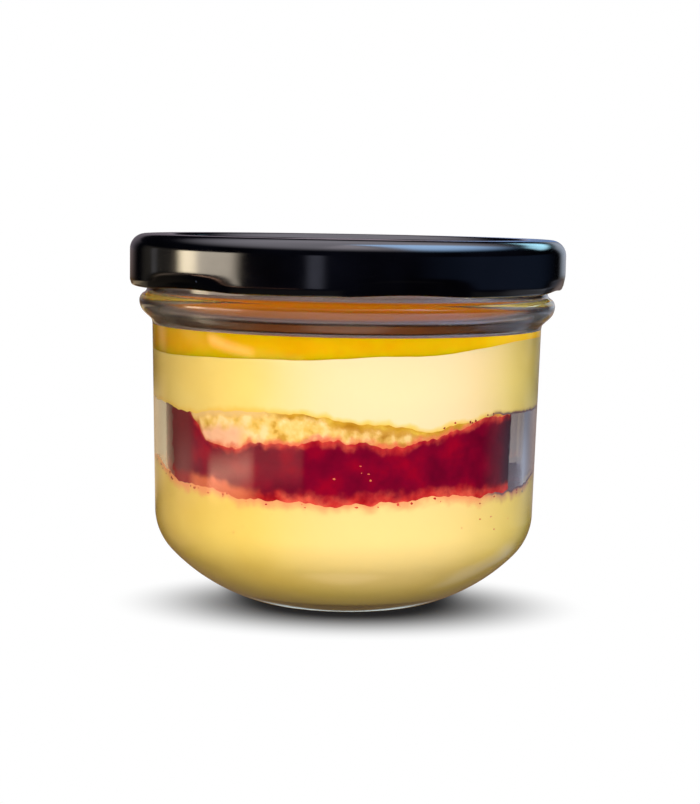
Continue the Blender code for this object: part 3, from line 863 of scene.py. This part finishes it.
JELLY_LINE = ((-135, 49.6), (-65, 48.7), (-20, 49.3), (20, 50.4), (65, 52.5), (115, 51.8), (165, 50.6))
JELLY_LEVEL = 50.3 * MM
JELLY_GRAINS = ((0.18, 9, 10), (0.07, 2.5, 11))


def jelly_bottom(share, azimuth):
    return level_at(JELLY_LINE, JELLY_LEVEL, share, azimuth) + ragged(share, azimuth, JELLY_GRAINS)


custard_upper = blank("custard_top_layer", FACES, 30)
shape_layer(custard_upper, cake_top, jelly_bottom, custard_relief)
custard_upper.data.materials.append(custard_material(
    "custard_over_cake", cream_colour=(0.93, 0.72, 0.22), painted_front_light=(0.93, 0.73, 0.43), boundary="above_lower",
    stain_depth=1.6, stain=(0.9, 0.6, 0.12), pocket_stain_and_shade=(0.6, 0.36, 0.12)))
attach(custard_upper, "root")
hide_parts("custard_upper")

# ------------------------------------------------------------------ fruit jelly
# A clear amber jelly, poured over the custard and set level under the neck. It carries some light through
# itself, and a painted glow that it gives off makes its open top orange and its right side golden.

JELLY_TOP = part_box("fruit_jelly")[1].z
JELLY_GRAIN = (7, 2)
JELLY_AMBER = ((0.3, (0.86, 0.42, 0.001)), (0.7, (0.92, 0.5, 0.004)))
JELLY_SKIN = (0.9, 0.31, 0.001)
SKIN_FROM_TO = (0.2, 0.8)  # how far the surface faces up
JELLY_LIGHT_REACH = 5 * MM
JELLY_LIGHT_SPREAD = (1.0, 0.4, 0.03)
# Painted glow: the jelly gives off light on its top and towards its right side
PAINTED_GLOW = 0.2
PAINTED_SIDE_GLOW = (2.3, 1.2, 0.02)
PAINTED_SIDE_GLOW_FROM_TO = (14 * MM, 34 * MM)
PAINTED_TOP_GLOW = (1, 0.32, 0.001)

jelly_layer = blank("fruit_jelly_layer", FACES, 16)
shape_layer(jelly_layer, jelly_bottom, lambda share, azimuth: np.full_like(share, JELLY_TOP),
            lambda spot: np.zeros(len(spot)))

jelly, tree, amber = new_material("fruit_jelly")
amber.inputs["Roughness"].default_value = 0.12
amber.inputs["Subsurface Weight"].default_value = 0.9
amber.inputs["Subsurface Radius"].default_value = JELLY_LIGHT_SPREAD
amber.inputs["Subsurface Scale"].default_value = JELLY_LIGHT_REACH
facing = tree.nodes.new("ShaderNodeNewGeometry")
upward = vector_step(tree, "DOT_PRODUCT", facing.outputs["Normal"], (0, 0, 1))
skin = eased_range(tree, upward, *SKIN_FROM_TO)
flesh = ramp(tree, shader_noise(tree, *JELLY_GRAIN), JELLY_AMBER)
# painted glow on the top and right side
painted_glow_mask = math_step(tree, "MAXIMUM", skin, eased_range(tree, along(tree, "X"), *PAINTED_SIDE_GLOW_FROM_TO))
for label, value in (
        ("Specular IOR Level", skin),
        ("Base Color", mix_colour(tree, skin, flesh, JELLY_SKIN)),
        ("Emission Strength", times(tree, painted_glow_mask, PAINTED_GLOW)),
        ("Emission Color", mix_colour(tree, skin, PAINTED_SIDE_GLOW, PAINTED_TOP_GLOW))):
    tree.links.new(value, amber.inputs[label])
jelly_layer.data.materials.append(jelly)
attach(jelly_layer, "root")
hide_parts("fruit_jelly")

# ------------------------------------------------------------------ loose crumbs
# Bits of soaked and plain cake that came off when it was cut and set in the custard by the glass.
# Each is a small ball, pressed flat against the wall and dented, and they are joined into two pieces.

# Zones of crumbs: two azimuths, the boundary that they lie along, their lowest and highest place from
# it in mm, their number, and how deep in the layer their colour is taken from, in mm
CRUMB_SOAKED = ((-66, 52, cake_bottom, -1.0, -0.1, 26, 0), (26, 50, cake_top, 0, 0.5, 9, 2),
                (60, 300, cake_bottom, -1.2, -0.1, 60, 0))
CRUMB_PLAIN = ((-60, 60, cake_bottom, -9, -1, 8, 0), (-4, 9, cake_bottom, 3.0, 7.0, 5, 0),
               (60, 300, cake_bottom, -9, -1, 16, 0))
LARGEST_SOAKED = 0.36 * MM
LARGEST_PLAIN = 0.24 * MM
SMALLEST = 0.35  # share of the largest
CRUMB_PIT = 0.25 * MM
chance = np.random.default_rng(11)


def scatter(name, zones, largest):
    """The crumbs of some zones, no larger than a radius, joined into one piece."""
    bpy.ops.object.select_all(action="DESELECT")
    made = []
    for start, end, boundary, low, high, count, depth in zones:
        for _ in range(count):
            azimuth = chance.uniform(start, end)
            z = float(boundary(np.array([1.0]), np.array([azimuth]))[0]) + chance.uniform(low, high) * MM
            size = largest * chance.uniform(SMALLEST, 1)
            a, radius = math.radians(azimuth), float(inner_radius(z)) + REACH - 0.35 * size
            bpy.ops.mesh.primitive_ico_sphere_add(
                subdivisions=2, radius=size, location=(radius * math.sin(a), -radius * math.cos(a), z))
            crumb_ball = bpy.context.object
            crumb_ball.rotation_euler = (0, 0, a)
            crumb_ball.scale = (chance.uniform(0.7, 1.4), 0.5, chance.uniform(0.6, 1))
            for label in ("above_lower", "below_upper"):
                crumb_ball.data.attributes.new(label, "FLOAT", "POINT").data.foreach_set(
                    "value", np.full(len(crumb_ball.data.vertices), float(depth)))
            made.append(crumb_ball)
    for crumb_ball in made:
        crumb_ball.select_set(True)
    bpy.ops.object.transform_apply(location=True, rotation=True, scale=True)
    bpy.ops.object.join()
    piece = bpy.context.object
    piece.name = name
    points = read_points(piece)
    points[:, 2] += 0.3 * largest * grain(points, CRUMB_PIT, 12)
    move_points(piece, points)
    smooth_shade(piece, 60)
    return piece


for name, zones, largest, material, slot in (
        ("soaked_crumbs", CRUMB_SOAKED, LARGEST_SOAKED, berry, "berry_cake"),
        ("plain_crumbs", CRUMB_PLAIN, LARGEST_PLAIN, sponge, "sponge")):
    loose = scatter(name, zones, largest)
    loose.data.materials.append(material)
    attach(loose, "root")

# ------------------------------------------------------------------ lid
# A pressed tinplate lid, black lacquered outside and gold inside. The sheet's edge is rolled under
# and pinched in at six lugs that hold the neck's thread.

LID_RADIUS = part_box("lid")[1].x
LID_BOTTOM, LID_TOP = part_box("lid")[0].z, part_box("lid")[1].z
LID_SHEET = 0.4 * MM
LID_SHOULDER = 3.0 * MM
LID_TAPER = 0.15 * MM
LID_RIM_WIDTH = 4.2 * MM
LID_PANEL_DROP = 1.0 * MM
LID_BUTTON_RING = 6 * MM
LID_BUTTON_RADIUS = 13.0 * MM
LID_BUTTON_RISE = 0.4 * MM
LID_BUTTON_SLOPE = 2 * MM
LID_PANEL_RINGS = (22 * MM, 30 * MM)
LID_PANEL_SLOPE = 1.6 * MM
LID_RIM_FLAT = 1.5 * MM
LID_CURL = 0.7 * MM
LUGS = 6
LUG_AZIMUTH = -45.0
LUG_HALF_WIDTH = 20.0
LUG_DEPTH = 0.8 * MM
LUG_HEIGHT = 3.4 * MM
LUG_LIFT = 0.4 * MM
LID_STEPS = 288

# Black lacquer with specks of dust, faintly uneven from handling, and dull where a lug is pressed in
LACQUER_GRAIN = (14, 4)
LACQUER = ((0.35, (0.0006, 0.0006, 0.0012)), (0.7, (0.0018, 0.002, 0.004)))
HANDLING_GRAIN = (3, 5)
LACQUER_ROUGHNESS = ((0.3, (0.11,) * 3), (0.7, (0.15,) * 3))
DUST = (0.05, 0.06, 0.09)
DUST_PITCH = 5.5 * MM
DUST_FROM_TO = (0.05, 0.02)
LUG_DULL_FROM_TO = (0.14, 0.005)
LUG_GLOSS = 0.06
GILT_GRAIN = (5, 3)
GILT = ((0.35, (0.62, 0.42, 0.24)), (0.7, (0.74, 0.54, 0.34)))

shoulder_centre = (LID_RADIUS - LID_SHOULDER, LID_TOP - LID_SHOULDER)
curl_centre = (LID_RADIUS - LID_TAPER - LID_CURL, LID_BOTTOM + LID_CURL)
rim_in = shoulder_centre[0] - LID_RIM_WIDTH
panel_edge = rim_in - LID_PANEL_SLOPE
panel_z = LID_TOP - LID_PANEL_DROP
button_z = panel_z + LID_BUTTON_RISE


def eased(start, end, steps):
    """Points of a soft step in the sheet, level at both ends."""
    return [(start[0] + (end[0] - start[0]) * i / steps,
             start[1] + (end[1] - start[1]) * float(smooth(i / steps))) for i in range(steps + 1)]


button = [(0, button_z), (LID_BUTTON_RING, button_z)]
button += eased((LID_BUTTON_RADIUS, button_z), (LID_BUTTON_RADIUS + LID_BUTTON_SLOPE, panel_z), 6)
panel = [(radius, panel_z) for radius in LID_PANEL_RINGS]
panel += eased((panel_edge, panel_z), (rim_in + 0.4 * MM, LID_TOP), 10)
drop = shoulder_centre[1] - curl_centre[1]
skirt = [(LID_RADIUS - LID_TAPER * t ** 40, shoulder_centre[1] - drop * t)
         for t in np.linspace(0.1, 0.95, 12)]
outside = button + panel + [(shoulder_centre[0] - LID_RIM_FLAT, LID_TOP)]
outside += arc(shoulder_centre, LID_SHOULDER, math.pi / 2, 0, 12) + skirt
curl = arc(curl_centre, LID_CURL, 0, -1.25 * math.pi, 18)
lining = [(r - LID_SHEET, z) for r, z in reversed(skirt[:9])]
lining += arc(shoulder_centre, LID_SHOULDER - LID_SHEET, 0, math.pi / 2, 8)
lining += [(r, z - LID_SHEET) for r, z in reversed(button + panel)]
lid = turn("lid_shell", outside + curl + lining, LID_STEPS)

points = read_points(lid)
azimuth = np.degrees(np.arctan2(points[:, 0], -points[:, 1]))
pitch = 360 / LUGS
off = (azimuth - LUG_AZIMUTH + pitch / 2) % pitch - pitch / 2
press = smooth(1 - np.abs(off) / LUG_HALF_WIDTH) * smooth(1 - (points[:, 2] - LID_BOTTOM) / LUG_HEIGHT)
points[:, :2] *= (1 - LUG_DEPTH * press / LID_RADIUS)[:, None]
points[:, 2] += LUG_LIFT * press
move_points(lid, points)
lid.data.attributes.new("pressed", "FLOAT", "POINT").data.foreach_set("value", press)
smooth_shade(lid)

lacquer, tree, black = new_material("black_lacquer")
speck = tree.nodes.new("ShaderNodeTexVoronoi")
speck.inputs["Scale"].default_value = 1 / DUST_PITCH
tree.links.new(on_piece(tree), speck.inputs["Vector"])
dust = eased_range(tree, speck.outputs["Distance"], *DUST_FROM_TO)
film = ramp(tree, shader_noise(tree, *LACQUER_GRAIN), LACQUER)
tree.links.new(mix_colour(tree, dust, film, DUST), black.inputs["Base Color"])
handled = ramp(tree, shader_noise(tree, *HANDLING_GRAIN), LACQUER_ROUGHNESS)
tree.links.new(handled, black.inputs["Roughness"])
shiny = eased_range(tree, attribute(tree, "pressed"), *LUG_DULL_FROM_TO)
tree.links.new(spread(tree, shiny, LUG_GLOSS, 1), black.inputs["Specular IOR Level"])
lid.data.materials.append(lacquer)

gold_lining, tree, gilt = new_material("gold_lining")
tree.links.new(ramp(tree, shader_noise(tree, *GILT_GRAIN), GILT), gilt.inputs["Base Color"])
gilt.inputs["Metallic"].default_value = 0.2
gilt.inputs["Roughness"].default_value = 0.35
lid.data.materials.append(gold_lining)
for face in lid.data.polygons:
    under = face.normal.z < -0.5 and face.center.z > LID_TOP - LID_PANEL_DROP - 2 * LID_SHEET
    face.material_index = int(under)
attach(lid, "root")
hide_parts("lid")
